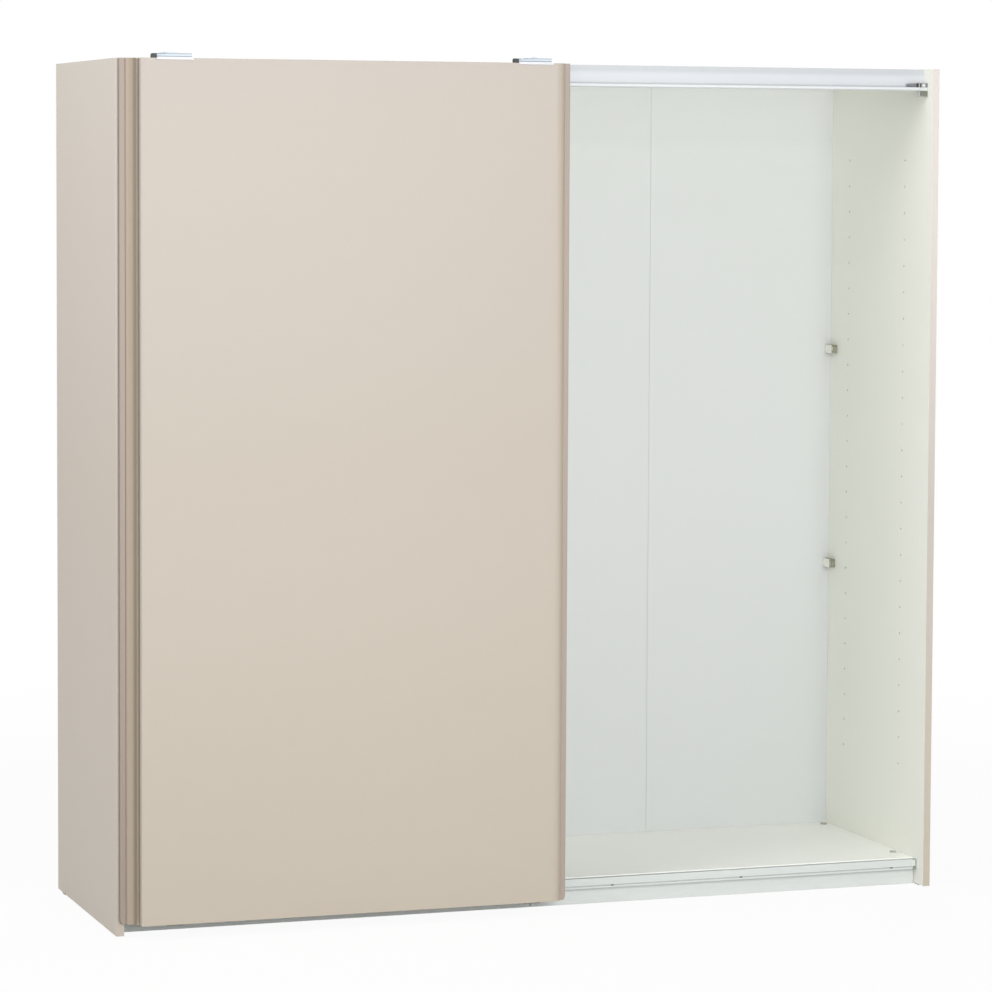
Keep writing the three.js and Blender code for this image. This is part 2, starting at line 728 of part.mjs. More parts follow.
// The stops wait where each hanger would leave its channel
function addStops() {
  const right = railStop();
  add('rail_end_stop_left', mirrorX(right), greyPlastic);
  add('rail_end_stop_right', right, greyPlastic);
  const [leftHanger, rightHanger] = hangerStarts(true);
  const travel = cabinetWidth - 2 * doorEndInset - doorWidth - parkedOffset;
  add('upper_track_stop_left', upperStop(leftHanger - stopPlay - upperStopLength), greyPlastic);
  add('upper_track_stop_right', upperStop(rightHanger + hangerLength + travel + stopPlay), greyPlastic);
}

// Guides: a plate on each door's back, an arm under the rail and a fin that runs in its groove
function guide(plateFront, plateHeight, armHeight, finStart) {
  const finEnd = finStart + finThickness;
  const plateBack = plateFront + guidePlate;
  return [
    [plateFront, armHeight], [finEnd, armHeight], [finEnd, finTop], [finStart, finTop],
    [finStart, armHeight + guideArm], [plateBack, armHeight + guideArm],
    [plateBack, plateHeight], [plateFront, plateHeight],
  ];
}

function addGuides() {
  const finInset = (guideGrooveWidth - finThickness) / 2;
  const rear = guide(rearDoorBack + seatGap, rearPlateTop, rearArmHeight, frontGrooveStart + finInset);
  const front = guide(frontDoorBack + seatGap, frontPlateTop, frontArmHeight, rearGrooveStart + finInset);
  const doors = [['front', front, frontDoorLeft], ['rear', rear, rearDoorLeft]];
  for (const [door, section, doorLeft] of doors) {
    const left = doorLeft + guideInset;
    const right = doorLeft + doorWidth - guideInset - guideLength;
    add(`${door}_door_guide_left`, alongX(section, left, left + guideLength), greyPlastic);
    add(`${door}_door_guide_right`, alongX(section, right, right + guideLength), greyPlastic);
  }
}

addSides();
addPartition();
addBoards();
addBack();
addClips();
addGlides();
addTopRail();
addGuideRail();
addStops();
addDoors();
addRunningGear();
addBuffers();
addGuides();

export default cabinet;
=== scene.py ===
import json
import math

import bmesh
import bpy
from mathutils import Matrix, Vector


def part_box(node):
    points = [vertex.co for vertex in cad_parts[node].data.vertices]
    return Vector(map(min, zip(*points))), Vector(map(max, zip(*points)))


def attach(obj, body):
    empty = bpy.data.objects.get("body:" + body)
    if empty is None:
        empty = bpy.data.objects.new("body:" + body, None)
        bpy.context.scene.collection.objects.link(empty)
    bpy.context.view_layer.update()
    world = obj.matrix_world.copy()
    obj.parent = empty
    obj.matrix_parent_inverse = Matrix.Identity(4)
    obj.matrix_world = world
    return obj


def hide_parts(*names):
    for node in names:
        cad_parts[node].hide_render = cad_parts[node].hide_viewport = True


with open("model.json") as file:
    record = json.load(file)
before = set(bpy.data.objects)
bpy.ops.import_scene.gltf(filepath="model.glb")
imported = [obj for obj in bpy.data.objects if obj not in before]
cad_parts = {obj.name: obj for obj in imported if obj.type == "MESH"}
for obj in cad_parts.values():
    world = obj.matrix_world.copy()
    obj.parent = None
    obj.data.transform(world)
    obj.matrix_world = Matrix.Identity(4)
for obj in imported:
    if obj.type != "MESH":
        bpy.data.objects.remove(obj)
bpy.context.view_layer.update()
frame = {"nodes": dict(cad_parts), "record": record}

X_AXIS, Y_AXIS, Z_AXIS = range(3)

# The camera, fitted to the corners of the cabinet in the photograph
PHOTO_WIDTH = 992
FOCAL_PIXELS = 3812.9
SENSOR_WIDTH = 36.0
CAMERA_PLACE = (-2.9637, -8.5544, 1.7385)
CAMERA_HEADING = math.radians(19.021)
CAMERA_TILT = math.radians(-3.784)
CAMERA_ROLL = math.radians(0.282)
CAMERA_SHIFT = -0.08

# The floor, pale to the eye near the cabinet and white from the far reach on, in metres
FLOOR_SIZE = 60.0
FLOOR_TONE = 0.72
FLOOR_ROUGHNESS = 0.9
FLOOR_GLOSS = 0.1
FLOOR_NEAR_SHARE = 0.94
FLOOR_NEAR_REACH = 1.6
FLOOR_FAR_REACH = 4.5

# The lights: an even surround, and soft boxes, each with its place, aim, side in metres and watts
SKY_TONE = 0.43
SOFT_BOXES = {
    "front_box": ((0.15, -4.9, 1.75), (0.2, 0.0, 1.3), 2.6, 155.0),
    "left_box": ((-4.6, -1.2, 3.6), (-1.0, 0.0, 1.2), 3.0, 166.0),
    "back_box": ((2.6, 5.6, 2.8), (0.0, 0.0, 1.1), 3.0, 110.0),
}

# Joining distances, and the roundings of the edges with their steps, in metres
SAME_POINT = 0.00001
NEAR_POINT = 0.0001
FACE_REACH = 0.0006
BOARD_EASE = 0.0008
METAL_EASE = 0.0003
PLASTIC_EASE = 0.0006
FULL_STEPS = 3
FEW_STEPS = 2

# Angles that tell one flat face from two, a sharp edge from a bend, and a crease from a curve
FLAT_ANGLE = math.radians(0.5)
EDGE_ANGLE = math.radians(28)
SMOOTH_ANGLE = math.radians(38)

# How strongly the large flat faces hold the shading even, from 1 to 100
FLAT_WEIGHT = 90

# How far a face's direction leans to an axis, from nought to one
GRIP_TURN = 0.05
MAINLY = 0.5
NEARLY = 0.8
SQUARELY = 0.9

# Pieces that come in numbers
BACK_SHEETS = 4
DOOR_ROLLERS = 4

# Where the finishes and their painted light and shade change on the doors, the rails, the stops and the
# hangers, in metres
GRIP_REACH = 0.0253
GROOVE_DEPTH = 0.001
GROOVE_TOP = 0.0075
STOP_BODY = 0.02
STOP_HEAD = 0.001
STOP_STRIP = 0.008
STOP_DARK_START = -0.006
STOP_DARK_END = 0.003
# Heights above the door's top where the hanger's painted glint, dark lines and pale band meet
HANGER_FOOT = 0.0024
HANGER_BEND = 0.0046
HANGER_CREASE = 0.0084
HANGER_TOP = 0.0104
HANGER_TAB = 0.004

# Round caps: their sides, and the shares of rim and height that slope and round them
ROUND_SIDES = 32
ROUND_SLOPE_SHARE = 1 / 4
ROUND_EASE_SHARE = 1 / 6

# Covers over the cam fittings, in metres
CAM_RADIUS = 0.0085
CAM_HEIGHT = 0.003
CAM_RIM = 0.0016
CAM_SINK = 0.0006
CAM_INSET = 0.02
CAM_FRONT = 0.073
CAM_BACK = 0.033

# Screw heads in the groove of the bottom guide rail, in metres
RAIL_SCREW_PLACES = (0.2, -0.128, 0.528, 0.921, -0.456, -0.784)
RAIL_SCREW_RADIUS = 0.0037
RAIL_SCREW_HEIGHT = 0.0016
RAIL_SCREW_RISE = 0.005
RAIL_SCREW_RIM = 0.0005
RAIL_SCREW_SINK = 0.0007

# The moulded cap at the guide rail's right end, whose field is sunk inside a sloping border that is
# painted with shade, in metres
CAP_LENGTH = 0.012
CAP_PROUD = 0.0009
CAP_ROUND = 0.004
CAP_ROUND_STEPS = 5
CAP_BORDER = 0.0028
CAP_SINK = 0.0003
CAP_BORDER_DEPTH = 0.000225

# Colours as they are seen, from 0 to 255
WHITE = (255, 255, 255)
CASHMERE = (182, 173, 161)
# The grip lips: the front one is a pinkish edge band darkened further by painted shade, and the rear
# one, the same band, is painted darker still as shade
FRONT_LIP_BAND_AND_PAINTED_SHADE = (164, 150, 139)
REAR_LIP_PAINTED_SHADE = (148, 133, 123)
WHITE_BOARD = (250, 251, 246)
# The plinth is the same white melamine as the boards, painted darker as shade to offset the light near
# the floor
PLINTH_PAINTED_SHADE_WHITE = (216, 220, 217)
RAW_SHEET = (158, 128, 98)
CHIPBOARD = (202, 197, 184)
GUIDE_METAL = (206, 211, 208)
GROOVE_SHADE = (176, 182, 180)
ZINC = (180, 190, 198)
# Hanger steel: painted dark lines on cut edges and bends as reflection and shadow, a paler front as
# painted light, and a painted glint on the foot
ZINC_PAINTED_DARK_LINE = (134, 142, 152)
ZINC_FRONT_PAINTED_PALE = (184, 194, 201)
ZINC_FOOT_PAINTED_GLINT = (207, 209, 212)
# The back clips: one plated metal, painted dark as shade and near white on the sides as a highlight
NICKEL_PAINTED_SHADE = (140, 140, 124)
NICKEL_SIDE_PAINTED_HIGHLIGHT = (248, 248, 238)
# The end cap's border, painted dark as shade round its outline
CAP_BORDER_PAINTED_SHADE = (142, 148, 144)
NYLON = (224, 224, 218)
BLACK = (32, 34, 34)
GREY = (92, 93, 90)
ARM_GREY = (112, 114, 120)
SCREW_WHITE = (204, 208, 206)
CAM_SHADE = (172, 173, 164)
# Dark grey: the screw heads' own colour, and painted shade over the groove's end in the end cap
SCREW_GREY_AND_GROOVE_SHADE = (122, 126, 122)
OLIVE = (104, 107, 94)

# Colours that change along an axis, as painted light and shade: shares of the way from the first place
# to the second
# The top rail by height: darker at the bottom rebate, above the lip and along the top band, and lighter
# on the lip: painted light and shade
RAIL_PAINTED_LIGHT_TONES = (
    (0.0, (186, 189, 190)), (0.05, (190, 193, 194)), (0.056, (214, 217, 218)),
    (0.155, (212, 215, 217)), (0.16, (200, 203, 205)), (0.235, (203, 206, 209)),
    (0.25, (209, 212, 215)), (0.62, (204, 208, 212)), (0.8, (190, 194, 197)), (1.0, (190, 194, 197)),
)
# The right side panel's front edge band, lighter towards the top where the light grazes it: painted
# light by height
EDGE_PAINTED_LIGHT_TONES = (
    (0.0, (189, 180, 164)), (0.45, (189, 182, 173)), (0.85, (213, 207, 200)), (1.0, (217, 210, 204)),
)
# The white inner walls, darker at the front and lighter towards the back: painted light and shade by
# depth
WALL_PAINTED_LIGHT_TONES = (
    (0.0, (237, 237, 229)), (0.35, (242, 243, 234)), (1.0, (253, 254, 245)),
)
# The white back sheets and the joint strips, lighter just under the top rail to lift its shadow: painted
# light by height
SHEET_PAINTED_LIGHT_TONES = (
    (0.0, (205, 208, 207)), (0.45, (209, 212, 211)), (0.94, (210, 213, 211)), (1.0, (229, 232, 230)),
)
# The front door's rolled edge beside its grip lip, darkening towards the lip: painted shade in the
# grip's hollow
FRONT_ROLL_PAINTED_SHADE_TONES = (
    (0.0, CASHMERE), (0.45, (182, 171, 157)), (0.75, (172, 159, 143)), (1.0, (169, 156, 140)),
)
# The rear door's rolled edge, darkest and brownest near the face where the front door's gap shades it:
# painted shade
REAR_ROLL_PAINTED_SHADE_TONES = (
    (0.0, (184, 171, 144)), (0.12, (152, 138, 116)), (0.24, (128, 115, 97)),
    (0.38, (134, 121, 104)), (0.5, (154, 140, 123)), (1.0, (157, 144, 129)),
)
# The side panels' cashmere, lighter towards the top: painted light by height
SIDE_PAINTED_LIGHT_TONES = (
    (0.0, (181, 172, 160)), (0.5, (180, 170, 158)), (0.85, (186, 177, 167)), (1.0, (188, 180, 170)),
)
# The doors' cashmere by height, warmer near the floor, a little darker below the middle and cooler at
# the top: painted light
DOOR_PAINTED_LIGHT_TONES = (
    (0.0, (182, 172, 157)), (0.3, (181, 171, 158)), (0.55, (179, 170, 158)), (1.0, (182, 173, 164)),
)

# The curve that makes a colour as it is seen linear for the shaders
CURVE_START = 0.04045
CURVE_SLOPE = 12.92
CURVE_OFFSET = 0.055
CURVE_POWER = 2.4

# Grain: even or drawn out along an axis, its detail, and the noise at its darkest and its lightest
EVEN = (1, 1, 1)
ALONG_X = (0.03, 1, 1)
ALONG_Z = (1, 1, 0.03)
GRAIN_DETAIL = 3.0
BOARD_DETAIL = 2.0
GRAIN_LOW = 0.3
GRAIN_HIGH = 0.7

# How many grains to the metre on boards and edges, and the slow drift of tone over a board
DRIFT_SCALE = 1.6
PEARL_SCALE = 850
EDGE_SCALE = 600

# How strongly grain shows in the colour, the gloss and the relief, whose depth is in metres
PEARL_SPREAD = 0.025
FINE_SPREAD = 0.03
GLOSS_SPREAD = 0.12
BOARD_GLOSS_SPREAD = 0.15
PEARL_RELIEF = 0.22
PEARL_DEPTH = 0.00012
GRAIN_DEPTH = 0.0002

scene = bpy.context.scene
scene.view_settings.view_transform = "Standard"


# Finishes
def linear(colour):
    """A colour as it is seen, in the linear values that the shaders want."""
    shares = [channel / 255 for channel in colour]
    values = [
        s / CURVE_SLOPE if s <= CURVE_START else ((s + CURVE_OFFSET) / (1 + CURVE_OFFSET)) ** CURVE_POWER
        for s in shares
    ]
    return (*values, 1.0)


def new_material(name):
    """A material, with its nodes and its links."""
    material = bpy.data.materials.new(name)
    material.use_nodes = True
    return material, material.node_tree.nodes, material.node_tree.links


def grain(nodes, links, scale, stretch=EVEN, detail=GRAIN_DETAIL):
    """A noise in the object's own coordinates, drawn out along an axis where stretch is small."""
    place = nodes.new("ShaderNodeTexCoord")
    mapping = nodes.new("ShaderNodeMapping")
    mapping.inputs["Scale"].default_value = stretch
    links.new(place.outputs["Object"], mapping.inputs["Vector"])
    noise = nodes.new("ShaderNodeTexNoise")
    noise.inputs["Scale"].default_value = scale
    noise.inputs["Detail"].default_value = detail
    links.new(mapping.outputs["Vector"], noise.inputs["Vector"])
    return noise.outputs["Fac"]


def tinted(nodes, links, factor, colour, spread):
    """The colour, a little darker and lighter with the factor."""
    ramp = nodes.new("ShaderNodeValToRGB")
    base = linear(colour)[:3]
    dark, light = ramp.color_ramp.elements
    dark.position = GRAIN_LOW
    light.position = GRAIN_HIGH
    dark.color = (*[channel * (1 - spread) for channel in base], 1)
    light.color = (*[min(channel * (1 + spread), 1) for channel in base], 1)
    links.new(factor, ramp.inputs["Fac"])
    return ramp.outputs["Color"]


def along_axis(nodes, links, axis, start, end, tones):
    """The tones one after the other along an axis, between the start and the end."""
    place = nodes.new("ShaderNodeTexCoord")
    split = nodes.new("ShaderNodeSeparateXYZ")
    links.new(place.outputs["Object"], split.inputs["Vector"])
    way = nodes.new("ShaderNodeMapRange")
    way.inputs["From Min"].default_value = start
    way.inputs["From Max"].default_value = end
    links.new(split.outputs[axis], way.inputs["Value"])
    ramp = nodes.new("ShaderNodeValToRGB")
    stops = ramp.color_ramp.elements
    stops[0].color = linear(tones[0][1])
    stops[1].color = linear(tones[-1][1])
    for share, colour in tones[1:-1]:
        stops.new(share).color = linear(colour)
    links.new(way.outputs["Result"], ramp.inputs["Fac"])
    return ramp.outputs["Color"]


def multiplied(nodes, links, first, second):
    """One colour times the other."""
    mix = nodes.new("ShaderNodeMix")
    mix.data_type = "RGBA"
    mix.blend_type = "MULTIPLY"
    mix.inputs["Factor"].default_value = 1.0
    links.new(first, mix.inputs["A"])
    links.new(second, mix.inputs["B"])
    return mix.outputs["Result"]


def vary_gloss(nodes, links, factor, shader, roughness, spread):
    """Makes the roughness a little lower and higher with the factor."""
    span = nodes.new("ShaderNodeMapRange")
    span.inputs["To Min"].default_value = roughness * (1 - spread)
    span.inputs["To Max"].default_value = roughness * (1 + spread)
    links.new(factor, span.inputs["Value"])
    links.new(span.outputs["Result"], shader.inputs["Roughness"])


def raise_relief(nodes, links, factor, shader, strength, depth):
    """Raises the factor as a relief of this depth in metres."""
    relief = nodes.new("ShaderNodeBump")
    relief.inputs["Strength"].default_value = strength
    relief.inputs["Distance"].default_value = depth
    links.new(factor, relief.inputs["Height"])
    links.new(relief.outputs["Normal"], shader.inputs["Normal"])


def surface(name, colour, spread, scale, roughness, relief, stretch=EVEN, metal=0.0):
    """A finish with a fine grain in its colour, its gloss and its relief."""
    material, nodes, links = new_material(name)
    shader = nodes["Principled BSDF"]
    fine = grain(nodes, links, scale, stretch)
    links.new(tinted(nodes, links, fine, colour, spread), shader.inputs["Base Color"])
    vary_gloss(nodes, links, fine, shader, roughness, GLOSS_SPREAD)
    raise_relief(nodes, links, fine, shader, relief, GRAIN_DEPTH)
    shader.inputs["Metallic"].default_value = metal
    return material


def graded_surface(name, axis, start, end, tones, scale, roughness, stretch=EVEN, metal=0.0):
    """A finish whose colour changes along an axis, with a fine grain over it."""
    material, nodes, links = new_material(name)
    shader = nodes["Principled BSDF"]
    tone = along_axis(nodes, links, axis, start, end, tones)
    fine = grain(nodes, links, scale, stretch)
    speckle = tinted(nodes, links, fine, WHITE, FINE_SPREAD)
    links.new(multiplied(nodes, links, tone, speckle), shader.inputs["Base Color"])
    vary_gloss(nodes, links, fine, shader, roughness, GLOSS_SPREAD)
    shader.inputs["Metallic"].default_value = metal
    return material


def board_surface(name, colour, spread, roughness):
    """Melamine: a fine pearl in the relief, and a very slow drift of tone over the board."""
    material, nodes, links = new_material(name)
    shader = nodes["Principled BSDF"]
    drift = grain(nodes, links, DRIFT_SCALE, detail=BOARD_DETAIL)
    pearl = grain(nodes, links, PEARL_SCALE, detail=BOARD_DETAIL)
    slow = tinted(nodes, links, drift, colour, spread)
    speckle = tinted(nodes, links, pearl, WHITE, PEARL_SPREAD)
    links.new(multiplied(nodes, links, slow, speckle), shader.inputs["Base Color"])
    vary_gloss(nodes, links, pearl, shader, roughness, BOARD_GLOSS_SPREAD)
    raise_relief(nodes, links, pearl, shader, PEARL_RELIEF, PEARL_DEPTH)
    return material


rail_low, rail_high = (corner.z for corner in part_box("top_rail"))
side_low, side_high = (corner.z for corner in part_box("right_side_panel"))
side_front, side_back = (corner.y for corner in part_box("right_side_panel"))
front_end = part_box("front_door_panel")[1].x
rear_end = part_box("rear_door_panel")[0].x
front_roll_start = front_end - GRIP_REACH
rear_roll_start = rear_end + GRIP_REACH

# Boards and sheets: a graded one, whose tones are painted light and shade, has its axis, start, end and
# tones, then grains to the metre
finishes = {
    "edge_band_painted_light": graded_surface(
        "cashmere_edge_band_painted_light", Z_AXIS, side_low, side_high, EDGE_PAINTED_LIGHT_TONES, EDGE_SCALE, roughness=0.5,
    ),
    "side_face_painted_light": graded_surface(
        "cashmere_side_painted_light", Z_AXIS, side_low, side_high, SIDE_PAINTED_LIGHT_TONES, PEARL_SCALE, roughness=0.48,
    ),
    "door_face_painted_light": graded_surface(
        "cashmere_door_painted_light", Z_AXIS, side_low, side_high, DOOR_PAINTED_LIGHT_TONES, PEARL_SCALE, roughness=0.48,
    ),
    "front_roll": graded_surface(
        "front_grip_roll_painted_shade", X_AXIS, front_roll_start, front_end, FRONT_ROLL_PAINTED_SHADE_TONES, EDGE_SCALE,
        roughness=0.5,
    ),
    "rear_roll": graded_surface(
        "rear_grip_roll_painted_shade", X_AXIS, rear_roll_start, rear_end, REAR_ROLL_PAINTED_SHADE_TONES, EDGE_SCALE,
        roughness=0.5,
    ),
    "white_wall_painted_light": graded_surface(
        "white_inner_melamine_painted_light", Y_AXIS, side_front, side_back, WALL_PAINTED_LIGHT_TONES, PEARL_SCALE, roughness=0.42,
    ),
    "white_sheet_painted_light": graded_surface(
        "white_back_sheet_painted_light", Z_AXIS, side_low, rail_low, SHEET_PAINTED_LIGHT_TONES, PEARL_SCALE, roughness=0.55,
    ),
    "front_lip": board_surface("front_lip_band_and_painted_shade", FRONT_LIP_BAND_AND_PAINTED_SHADE, spread=0.01, roughness=0.42),
    "rear_lip": board_surface("rear_lip_painted_shade", REAR_LIP_PAINTED_SHADE, spread=0.01, roughness=0.42),
    "white": board_surface("white_melamine", WHITE_BOARD, spread=0.01, roughness=0.4),
    "plinth": board_surface("plinth_melamine_painted_shade", PLINTH_PAINTED_SHADE_WHITE, spread=0.01, roughness=0.42),
    "raw_sheet": surface(
        "raw_hardboard", RAW_SHEET, spread=0.16, scale=260, roughness=0.8, relief=0.5,
    ),
    "chipboard": surface(
        "bare_chipboard", CHIPBOARD, spread=0.3, scale=420, roughness=0.85, relief=0.8,
    ),
}

# Metals: both rails, the hangers, the clips, and the strip and the screw head of an end stop, with
# painted light and shade on the top rail, the hangers and the clips
finishes |= {
    "rail": graded_surface(
        "anodised_rail_painted_light", Z_AXIS, rail_low, rail_high, RAIL_PAINTED_LIGHT_TONES, scale=900, roughness=0.55,
        stretch=ALONG_X, metal=0.1,
    ),
    "guide": surface(
        "anodised_guide_rail", GUIDE_METAL, spread=0.03, scale=900, roughness=0.55, relief=0.25,
        stretch=ALONG_X, metal=0.05,
    ),
    "groove": surface(
        "shaded_groove", GROOVE_SHADE, spread=0.04, scale=900, roughness=0.6, relief=0.2,
        stretch=ALONG_X,
    ),
    "zinc": surface(
        "zinc_plated_steel", ZINC, spread=0.06, scale=320, roughness=0.34, relief=0.2,
        stretch=ALONG_X, metal=0.35,
    ),
    "zinc_painted_dark_line": surface(
        "zinc_painted_reflection_and_shadow", ZINC_PAINTED_DARK_LINE, spread=0.08, scale=320, roughness=0.45, relief=0.3,
        stretch=ALONG_X, metal=0.1,
    ),
    "zinc_front_painted_pale": surface(
        "zinc_front_flange_painted_light", ZINC_FRONT_PAINTED_PALE, spread=0.04, scale=320, roughness=0.45, relief=0.2,
        stretch=ALONG_X, metal=0.1,
    ),
    "zinc_foot_painted_glint": surface(
        "zinc_foot_painted_glint", ZINC_FOOT_PAINTED_GLINT, spread=0.02, scale=320, roughness=0.45, relief=0.2,
        stretch=ALONG_X, metal=0.05,
    ),
    "nickel": surface(
        "nickel_plate_painted_shade", NICKEL_PAINTED_SHADE, spread=0.08, scale=380, roughness=0.35, relief=0.15, metal=0.5,
    ),
    "nickel_side_painted_highlight": surface(
        "nickel_side_painted_highlight_finish", NICKEL_SIDE_PAINTED_HIGHLIGHT, spread=0.03, scale=380, roughness=0.35, relief=0.15,
        metal=0.05,
    ),
    "screw": surface(
        "plated_screw_head", SCREW_WHITE, spread=0.05, scale=500, roughness=0.35, relief=0.2,
        metal=0.15,
    ),
}

# Plastics: strips, caps, covers, rollers, guides, buffers, glides and stops, with painted light on the
# strips and painted shade on the end cap
finishes |= {
    # The joint strips share the back sheets' painted light by height
    "strip": graded_surface(
        "white_strip_plastic_painted_light", Z_AXIS, side_low, rail_low, SHEET_PAINTED_LIGHT_TONES, scale=500, roughness=0.42,
    ),
    "cap_border_painted_shade": surface(
        "cap_border_painted_shade_plastic", CAP_BORDER_PAINTED_SHADE, spread=0.05, scale=500, roughness=0.55, relief=0.2,
    ),
    "screw_grey_and_groove_shade": surface("dark_screw_grey_and_painted_groove_shade", SCREW_GREY_AND_GROOVE_SHADE, spread=0.1, scale=500, roughness=0.6, relief=0.2),
    "cam": surface("cam_cover_plastic", CAM_SHADE, spread=0.08, scale=500, roughness=0.5, relief=0.2),
    "nylon": surface("natural_nylon", NYLON, spread=0.03, scale=400, roughness=0.45, relief=0.1),
    "black": surface("black_plastic", BLACK, spread=0.15, scale=600, roughness=0.5, relief=0.3),
    "grey": surface("grey_plastic", GREY, spread=0.1, scale=600, roughness=0.52, relief=0.3),
    "stop_arm": surface(
        "stop_arm_plastic", ARM_GREY, spread=0.12, scale=240, roughness=0.45, relief=0.3,
        stretch=ALONG_Z,
    ),
    "stop_block": surface(
        "stop_block_plastic", OLIVE, spread=0.22, scale=260, roughness=0.5, relief=0.4,
        stretch=ALONG_Z,
    ),
}

bodies = frame["record"]["behaviour"]["bodies"]


# Work on a piece
def select_only(piece):
    bpy.ops.object.select_all(action="DESELECT")
    piece.select_set(True)
    bpy.context.view_layer.objects.active = piece


def apply_modifier(piece, kind, **settings):
    select_only(piece)
    modifier = piece.modifiers.new(kind.lower(), kind)
    for setting, value in settings.items():
        setattr(modifier, setting, value)
    bpy.ops.object.modifier_apply(modifier=modifier.name)


def whole_copy(node, name):
    """A solid's shape as a piece of its own, with its loose triangles joined into whole faces."""
    piece = bpy.data.objects.new(name, frame["nodes"][node].data.copy())
    scene.collection.objects.link(piece)
    select_only(piece)
    bpy.ops.mesh.customdata_custom_splitnormals_clear()
    bpy.ops.object.mode_set(mode="EDIT")
    bpy.ops.mesh.select_all(action="SELECT")
    bpy.ops.mesh.remove_doubles(threshold=SAME_POINT)
    bpy.ops.mesh.dissolve_limited(angle_limit=FLAT_ANGLE)
    bpy.ops.object.mode_set(mode="OBJECT")
    return piece


def score(piece, lines):
    """Scores lines around the piece, each square to an axis, where one finish meets the next."""
    select_only(piece)
    bpy.ops.object.mode_set(mode="EDIT")
    for axis, place in lines:
        point, direction = Vector(), Vector()
        point[axis] = place
        direction[axis] = 1
        bpy.ops.mesh.select_all(action="SELECT")
        bpy.ops.mesh.bisect(plane_co=point, plane_no=direction)
    bpy.ops.object.mode_set(mode="OBJECT")


def shade(piece):
    """Smooth over curves, creased at sharp edges, and even over flat faces."""
    select_only(piece)
    bpy.ops.object.shade_smooth_by_angle(angle=SMOOTH_ANGLE)
    apply_modifier(piece, "WEIGHTED_NORMAL", keep_sharp=True, weight=FLAT_WEIGHT)


def ease_edges(piece, width, steps):
    """Rounds the sharp edges and keeps the flat faces flat to the light."""
    apply_modifier(
        piece, "BEVEL", width=width, segments=steps, limit_method="ANGLE",
        angle_limit=EDGE_ANGLE, use_clamp_overlap=True, miter_outer="MITER_ARC",
    )
    shade(piece)


def paint(piece, names, rule):
    """Gives the piece its finishes, and each face the one that the rule names, or the first."""
    piece.data.materials.clear()
    for name in names:
        piece.data.materials.append(finishes[name])
    for face in piece.data.polygons:
        face.material_index = names.index(rule(face.center, face.normal)) if rule else 0


def carry_over(node, names, ease, rule=None, steps=FULL_STEPS, lines=()):
    """Dresses a solid: its own shape, with eased edges and its finishes."""
    body = next(name for name, members in bodies.items() if node in members)
    piece = whole_copy(node, node + "_dressed")
    ease_edges(piece, ease, steps)
    score(piece, lines)
    paint(piece, names, rule)
    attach(piece, body)
    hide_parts(node)


# Camera, lamps, floor and surround
def place_camera():
    data = bpy.data.cameras.new("photo_camera")
    data.sensor_width = SENSOR_WIDTH
    data.lens = FOCAL_PIXELS / PHOTO_WIDTH * SENSOR_WIDTH
    data.shift_y = CAMERA_SHIFT
    camera = bpy.data.objects.new("photo_camera", data)
    scene.collection.objects.link(camera)
    turn = Matrix.Rotation(-CAMERA_HEADING, 4, "Z")
    tilt = Matrix.Rotation(math.pi / 2 + CAMERA_TILT, 4, "X")
    roll = Matrix.Rotation(CAMERA_ROLL, 4, "Z")
    camera.matrix_world = Matrix.Translation(CAMERA_PLACE) @ turn @ tilt @ roll
    scene.camera = camera


def soft_box(name, place, aim, size, power):
    """A square lamp that faces its aim."""
    data = bpy.data.lights.new(name, "AREA")
    data.shape = "SQUARE"
    data.size = size
    data.energy = power
    lamp = bpy.data.objects.new(name, data)
    scene.collection.objects.link(lamp)
    look = (Vector(aim) - Vector(place)).to_track_quat("-Z", "Y")
    lamp.matrix_world = Matrix.Translation(place) @ look.to_matrix().to_4x4()


def computed(nodes, links, operation, first, second):
    """What the operation makes of two values."""
    result = nodes.new("ShaderNodeMath")
    result.operation = operation
    links.new(first, result.inputs[0])
    links.new(second, result.inputs[1])
    return result.outputs[0]


def seen_directly(nodes, links):
    """One where a ray comes from the camera, or through a gloss or glass, and nought elsewhere."""
    rays = nodes.new("ShaderNodeLightPath").outputs
    first = computed(nodes, links, "MAXIMUM", rays["Is Camera Ray"], rays["Is Glossy Ray"])
    return computed(nodes, links, "MAXIMUM", first, rays["Is Transmission Ray"])


def whiteness(nodes, links):
    """How white the floor looks, which grows with the distance from the cabinet's middle."""
    place = nodes.new("ShaderNodeTexCoord")
    distance = nodes.new("ShaderNodeVectorMath")
    distance.operation = "LENGTH"
    links.new(place.outputs["Object"], distance.inputs[0])
    share = nodes.new("ShaderNodeMapRange")
    share.interpolation_type = "SMOOTHSTEP"
    share.inputs["From Min"].default_value = FLOOR_NEAR_REACH
    share.inputs["From Max"].default_value = FLOOR_FAR_REACH
    share.inputs["To Min"].default_value = FLOOR_NEAR_SHARE
    share.inputs["To Max"].default_value = 1.0
    links.new(distance.outputs["Value"], share.inputs["Value"])
    return share.outputs["Result"]


